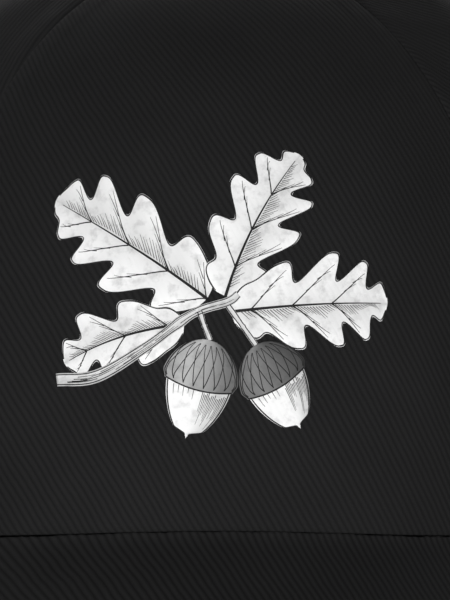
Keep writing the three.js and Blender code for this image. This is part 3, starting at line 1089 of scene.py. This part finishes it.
def addTapes():
    look = insideLook
    start, end = look["tapeStart"], look["tapeDepth"] + look["tapeThickness"]
    for label, seam, height, node in (
            ("FrontLeft", crown["frontSeam"], start, "seam_tape_front_left"),
            ("FrontRight", -crown["frontSeam"], start, "seam_tape_front_right"),
            ("RearLeft", crown["rearSeam"], start, "seam_tape_rear_left"),
            ("RearRight", -crown["rearSeam"], start, "seam_tape_rear_right"),
            ("Back", math.pi, archLook["height"] + 9.0, "seam_tape_back")):
        line = np.linspace(float(riseAt(seam, height)), look["tapeTop"], 110)
        across = np.linspace(-1, 1, 15)
        angles = besideSeam(seam, line[:, None], across * look["tapeHalfWidth"])
        rises = np.broadcast_to(line[:, None], angles.shape)
        hump = 0.22 * (1 - across ** 2) + 0.10 * ripple(across * 5 + 0 * rises, rises * 110, 9, 5)
        edge = 0.3 * np.abs(across) ** 12
        outer = crownPoint(angles, rises, look["tapeDepth"] - 0.25 * (1 - across ** 2))
        inner = crownPoint(angles, rises, end - edge + hump * 0.6 - 0.15)
        piece = sheetSolid("seamTape" + label, outer, inner, "wovenTape")
        finishPiece(piece, node,
                    lambda points: (seamDistance(*crownAngles(points), seam), points[..., 2]))
        rows = []
        for side in (-1, 1):
            angle = besideSeam(seam, line, side * look["tapeStitch"])
            path = crownPoint(angle, line, end + 0.02)
            rows.append(stitchRow(path, -outward(angle, line), *look["tapeThread"]))
        addStitches("tapeStitches" + label, rows)


def addBacking():
    look = insideLook
    rises = np.linspace(0.02, look["tapeTop"] - math.radians(3), 120)[:, None]
    angles = besideSeam(crown["frontSeam"], rises, -look["tapeHalfWidth"] - 0.3) * np.linspace(-1, 1, 140)
    rises = np.broadcast_to(rises, angles.shape)
    outer = crownPoint(angles, rises, look["tapeDepth"])
    inner = crownPoint(angles, rises, look["tapeDepth"] + look["tapeThickness"])
    piece = sheetSolid("frontBacking", outer, inner, "stiffNet")
    finishPiece(piece, "front_backing",
                lambda points: frontPanel["cloth"].flat(*crownAngles(points)))


def addSweatband():
    look = insideLook
    tall, depth = look["bandHeight"], look["bandDepth"]
    end = math.pi - (strapLook["reach"] + 0.3) / strapLook["radius"]
    angles = np.linspace(-end, end, 420)
    past = np.abs(angles) / crown["brimEnd"]
    bottom = -look["bandDrop"] + (look["bandDrop"] + 0.8) * smooth(0.86, 1.04, past)
    foot = smooth(1.1, 1.25, past)

    def innerFace(row, sink):
        # the face against the head, with the height of this row on the wall
        height = bottom + (tall - bottom) * row / tall
        wave = 0.35 * ripple(angles * 90, row + 0 * angles, 46, 61) * smooth(6, 24, row)
        return wallPoint(angles, height, depth + look["bandThickness"] + np.maximum(wave, -0.2) - sink), height

    outer, inner = [], []
    for row in np.concatenate([np.linspace(0, 1, 12) * look["bandSeam"], np.linspace(5, tall, 34)]):
        topRound = rounded(tall - row, 1.2, 0.5)
        groove = sum(deep * math.exp(-((row - at) / 0.7) ** 2)
                     for deep, at in zip(look["bandGrooves"], look["bandStitches"]))
        face, height = innerFace(row, groove + topRound)
        inner.append(face)
        toFoot = (look["footDepth"] - depth) * foot * (1 - smooth(2.6, 4.2, row))
        outer.append(wallPoint(angles, height, depth + toFoot + topRound))
    piece = sheetSolid("sweatband", np.stack(outer), np.stack(inner), "bandCotton")
    finishPiece(piece, "sweatband",
                lambda points: (crownAngles(points)[0] * look["bandRadius"], points[..., 2]))
    rows = []
    for row in look["bandStitches"]:
        path, height = innerFace(row, 0.02)
        rows.append(stitchRow(path, -outward(angles, riseAt(angles, height)), *look["bandThread"]))
    addStitches("bandStitches", rows)


addTapes()
addBacking()
addSweatband()
print("inside made")


# The print: a sprig of lobed leaves with acorns, laid flat on the front panel's cloth

printLook = {
    "centre": (-0.9, 48.5),
    "scale": 1.07,
    "lowest": -0.06,  # the films reach this far into the cloth
    "lift": 0.035,  # height of the first wash
    "layer": 0.030,  # from one layer to the next
    "ink": 0.013,  # from a layer's wash to its lines
    "rim": 0.26,  # pale border left outside the drawn outline
    "line": 0.21,
}

leafPlan = [
    {"base": (-1.5, 0.5), "heading": 148, "bend": 16, "length": 37.5, "width": 13.0, "lobes": 4, "start": 0.10},
    {"base": (2.0, 1.0), "heading": 66, "bend": -22, "length": 33.0, "width": 11.0, "lobes": 4, "start": 0.35},
    {"base": (3.0, -2.0), "heading": 2, "bend": -14, "length": 33.0, "width": 11.5, "lobes": 4, "start": 0.62},
    {"base": (-6.0, -4.5), "heading": 196, "bend": 26, "length": 27.0, "width": 8.5, "lobes": 3, "start": 0.85},
]
acornPlan = [
    {"base": (-1.0, -7.5), "heading": -104, "bend": 0, "length": 20.0, "width": 6.6, "cup": 0.30},
    {"base": (8.0, -8.5), "heading": -62, "bend": 0, "length": 19.0, "width": 6.2, "cup": 0.13},
]
twigPlan = [
    {"points": [(-33.0, -17.0), (-24.0, -15.5), (-14.0, -9.5), (-4.5, -2.5), (2.5, 0.0), (4.5, 1.5)],
     "width": (2.5, 1.5), "strokes": 26},
    {"points": [(-3.0, -2.0), (-2.2, -4.5), (-1.0, -7.6)], "width": (1.1, 1.0), "strokes": 0},
    {"points": [(2.5, -0.8), (5.2, -4.6), (8.0, -8.6)], "width": (1.1, 1.0), "strokes": 0},
]


def onPanel(flat, lift):
    # from the print's own millimetres to the face of the front panel
    u, v = (flat[..., k] * printLook["scale"] + printLook["centre"][k] for k in range(2))
    return panelPoint(frontPanel, *frontPanel["cloth"].crown(u, v), lift)


def film(flat, lift):
    # a thin film over a grid of flat points
    return sheetBetween(onPanel(flat, lift), onPanel(flat, printLook["lowest"]))


def heading(turn):
    return np.stack([np.cos(turn), np.sin(turn)], -1)


def spine(plan, t):
    # the bent middle line of a leaf or acorn, and its direction
    fine = np.linspace(0, 1, 400)
    turn = np.radians(plan["heading"] + plan["bend"] * (fine - 0.35))
    x, y = (plan["base"] + np.cumsum(heading(turn), axis=0) * plan["length"] / 399).T
    return np.stack([np.interp(t, fine, x), np.interp(t, fine, y)], -1), np.interp(t, fine, turn)


def leafHalf(plan, t, side):
    # half the leaf's width: lobes that grow to the middle, with narrow rounded bays between them
    body = np.sin(np.pi * np.clip(t, 0, 1) ** 0.80) ** 0.62
    phase = plan["lobes"] * (t + 0.03 * side) + plan["start"]
    bay = (0.5 + 0.5 * np.cos(2 * np.pi * phase)) ** 1.6
    deep = 0.52 * smooth(0.03, 0.2, t) * (1 - smooth(0.86, 0.99, t))
    return plan["width"] * body * (1 - deep * bay) * (1 + 0.07 * side * np.sin(5 * t + plan["start"] * 9))


def leafPlace(plan, t, s):
    # t runs along the leaf and s across it, -1 to 1; the lobes lean forward
    middle, turn = spine(plan, t)
    half = np.where(s < 0, leafHalf(plan, t, -1), leafHalf(plan, t, 1))
    lean = math.radians(34) * np.sin(np.pi * np.clip(t, 0, 1)) ** 0.5
    return middle + (np.abs(s) * half)[..., None] * heading(turn + np.sign(s) * (np.pi / 2 - lean))


def acornPlace(plan, t, s):
    middle, turn = spine(plan, t)
    nut = plan["width"] * np.sin(np.pi * np.clip(0.5 + 0.5 * (t - 0.36) / 0.64, 0, 1)) ** 0.55
    point = plan["width"] * 0.10 * (1 - smooth(0.93, 1.0, t))
    half = np.maximum(nut * (1 - smooth(0.90, 0.97, t)), point * (t > 0.9))
    return middle + (s * half)[..., None] * heading(turn + np.pi / 2)


def cupPlace(plan, t, s):
    middle, turn = spine(plan, t * 0.46)
    half = plan["width"] * 1.16 * np.sin(np.pi / 2 * np.clip(t, 0.0, 1)) ** 0.45 * (1 - 0.10 * smooth(0.8, 1, t))
    droop = 1.1 * (1 - s ** 2) * smooth(0.4, 1, t)
    return middle + (s * half)[..., None] * heading(turn + np.pi / 2) + droop[..., None] * heading(turn)


def ribbon(path, first, last, swell=0.0):
    # a drawn line: flat points along a path, from one width to another
    t = np.linspace(0, 1, len(path))
    half = (first + (last - first) * t + swell * np.sin(np.pi * t))[:, None] / 2
    ahead = unit(np.gradient(path, axis=0))
    side = np.stack([-ahead[:, 1], ahead[:, 0]], -1)
    return np.stack([path - side * half, path + side * half], axis=1)


def fillGrid(first, rows, columns):
    return np.broadcast_arrays(np.linspace(first, 1, rows)[:, None], np.linspace(-1, 1, columns)[None, :])


def leafFills(plan):
    t, s = fillGrid(0.0, 150, 33)
    shade = 0.80 - 0.16 * np.exp(-np.abs(s) * 5) - 0.10 * (s < 0) * (1 - np.abs(s))
    shade = shade - 0.07 * np.cos(2 * np.pi * (plan["lobes"] * t + plan["start"])) * np.abs(s)
    return [(leafPlace(plan, t, s), np.clip(shade, 0.3, 0.9))]


def leafLines(plan, draw):
    t = np.linspace(0.012, 0.985, 240)
    for side in (-1, 1):
        s = side * np.maximum(1 - printLook["rim"] / np.maximum(leafHalf(plan, t, side), 0.3), 0.1)
        width = printLook["line"] * (1 + 0.25 * np.sin(t * 41 + side)) * smooth(0, 0.03, t) + 0.05
        yield ribbon(leafPlace(plan, t, s), width, width)
    t = np.linspace(0.0, 0.95, 90)
    yield ribbon(leafPlace(plan, t, 0 * t + 1e-4), 0.62, 0.14)
    # a vein for each lobe, with two branches
    for k in range(plan["lobes"] + 1):
        peak = (k + 0.5 - plan["start"] % 1) / plan["lobes"]
        if not 0.08 < peak < 0.93:
            continue
        root = peak - 0.10
        for side in (-1, 1):
            way = np.linspace(0, 1, 36)
            along = root + (peak + 0.015 * side - root) * way ** 0.9
            yield ribbon(leafPlace(plan, along, side * (0.02 + 0.80 * way)), 0.27, 0.09)
            for branch in (0.35, 0.6):
                way = np.linspace(0, 1, 16)
                along = root + (peak - root) * branch + way * 0.055
                yield ribbon(leafPlace(plan, along, side * (branch * 0.8 + 0.20 * way)), 0.17, 0.07)
    # short parallel strokes that shade the lower side of the middle vein
    for k in range(46):
        long = 0.16 + 0.14 * draw.random()
        way = np.linspace(0, 1, 10)
        yield ribbon(leafPlace(plan, 0.06 + 0.86 * k / 46 + 0.030 * way, -(0.05 + long * way)), 0.15, 0.06)


def acornFills(plan):
    t, s = fillGrid(0.34, 60, 25)
    nutTone = 0.82 - 0.30 * smooth(-0.1, 1.0, s) - 0.16 * (1 - smooth(0.34, 0.52, t))
    nut = acornPlace(plan, t, s), nutTone
    t, s = fillGrid(0.0, 44, 29)
    cupTone = plan["cup"] * (1 - 0.62 * smooth(-0.1, 0.9, s) + 0.35 * np.exp(-((s + 0.45) / 0.3) ** 2))
    return [nut, (cupPlace(plan, t, s), cupTone)]


def acornLines(plan, draw):
    t = np.linspace(0.46, 0.965, 90)
    for side in (-1, 1):
        yield ribbon(acornPlace(plan, t, side * (0.95 + 0 * t)), 0.22, 0.18, 0.06)
    # strokes down the nut, long on its dark side and short on its light one
    for k in range(15):
        way = np.linspace(0.50 + 0.05 * draw.random(), 0.62 + 0.28 * draw.random(), 24)
        yield ribbon(acornPlace(plan, way, 0.18 + 0.72 * k / 14 + 0 * way), 0.15, 0.06)
    for k in range(5):
        way = np.linspace(0.50, 0.56 + 0.05 * draw.random(), 12)
        yield ribbon(acornPlace(plan, way, -0.75 + 0.16 * k + 0 * way), 0.14, 0.06)
    t = np.linspace(0.02, 0.99, 70)
    for side in (-1, 1):
        yield ribbon(cupPlace(plan, t, side * (0.96 + 0 * t)), 0.22, 0.22)
    s = np.linspace(-0.95, 0.95, 60)
    yield ribbon(cupPlace(plan, 0.985 + 0 * s, s), 0.30, 0.30)
    # scales of the cup: two crossing sets of fine curves
    for k in range(7):
        for turn in (-1, 1):
            way = np.linspace(0.12, 0.93, 40)
            s = np.clip(-0.86 + 1.72 * k / 6 + turn * 0.34 * (way - 0.5), -0.92, 0.92)
            yield ribbon(cupPlace(plan, way, s), 0.12, 0.19)


def bendThrough(points, count):
    # a smooth line through a few points
    points = np.asarray(points, float)
    padded = np.concatenate([[2 * points[0] - points[1]], points, [2 * points[-1] - points[-2]]])
    spans = len(points) - 1
    out = []
    for k in range(spans):
        p0, p1, p2, p3 = padded[k:k + 4]
        t = np.linspace(0, 1, count // spans, endpoint=k == spans - 1)[:, None]
        out.append(0.5 * (2 * p1 + (p2 - p0) * t + (2 * p0 - 5 * p1 + 4 * p2 - p3) * t ** 2
                          + (3 * p1 - p0 - 3 * p2 + p3) * t ** 3))
    return np.concatenate(out)


def twigShapes(draw):
    fills, lines = [], []
    for plan in twigPlan:
        path = bendThrough(plan["points"], 90)
        count = len(path)
        knots = 1 + 0.10 * np.sin(np.linspace(0, 9, count))
        knots = knots + 0.25 * np.exp(-((np.linspace(0, 1, count) - 0.55) / 0.03) ** 2)
        width = np.linspace(*plan["width"], count) * knots
        edges = ribbon(path, width, width)

        def between(share, part=slice(None)):
            return edges[part, 0] * (1 - share) + edges[part, 1] * share

        s = np.linspace(0, 1, 7)
        flat = np.stack([between(share) for share in s], axis=1)
        fills.append((flat, 0.70 - 0.22 * (1 - s) + 0 * flat[..., 0]))
        lines += [ribbon(between(share), 0.20, 0.16) for share in (0.12, 0.88)]
        for _ in range(plan["strokes"]):
            at = int(4 + (count - 24) * draw.random())
            share = 0.25 + 0.5 * draw.random()
            lines.append(ribbon(between(share, slice(at, at + 6 + int(9 * draw.random()))), 0.13, 0.06))
    return fills, lines


def printPiece(name, films, material):
    piece = makeObject(name, *joined(films), material)
    finishPiece(piece, clothAt=lambda points: panelCloth(frontPanel, points))
    return piece


def addPrint():
    draw = np.random.default_rng(5)
    layers = [(f"Leaf{k + 1}", leafFills(plan), list(leafLines(plan, draw)))
              for k, plan in enumerate(leafPlan)]
    layers.append(("Twig", *twigShapes(draw)))
    layers += [(f"Acorn{k + 1}", acornFills(plan), list(acornLines(plan, draw)))
               for k, plan in enumerate(acornPlan)]
    lift, ink = printLook["lift"], printLook["ink"]
    for label, fills, lines in layers:
        films = [film(flat, lift + k * ink) for k, (flat, _) in enumerate(fills)]
        wash = printPiece("print" + label, films, "paleWash")
        layer = wash.data.attributes.new("tone", "FLOAT", "POINT")
        tones = np.concatenate([np.tile(tone.ravel(), 2) for _, tone in fills])
        layer.data.foreach_set("value", tones.astype(np.float32))
        lift += ink * len(fills)
        printPiece("printLines" + label, [film(line, lift) for line in lines], "darkInk")
        lift += printLook["layer"] - ink


addPrint()
print("print made")


# Table

def addFloor():
    mesh = bpy.data.meshes.new("floor")
    shape = bmesh.new()
    bmesh.ops.create_grid(shape, x_segments=8, y_segments=8, size=60.0)
    shape.to_mesh(mesh)
    shape.free()
    floor = bpy.data.objects.new("floor", mesh)
    mesh.materials.append(materials["paleFloor"])
    bpy.context.scene.collection.objects.link(floor)


addFloor()
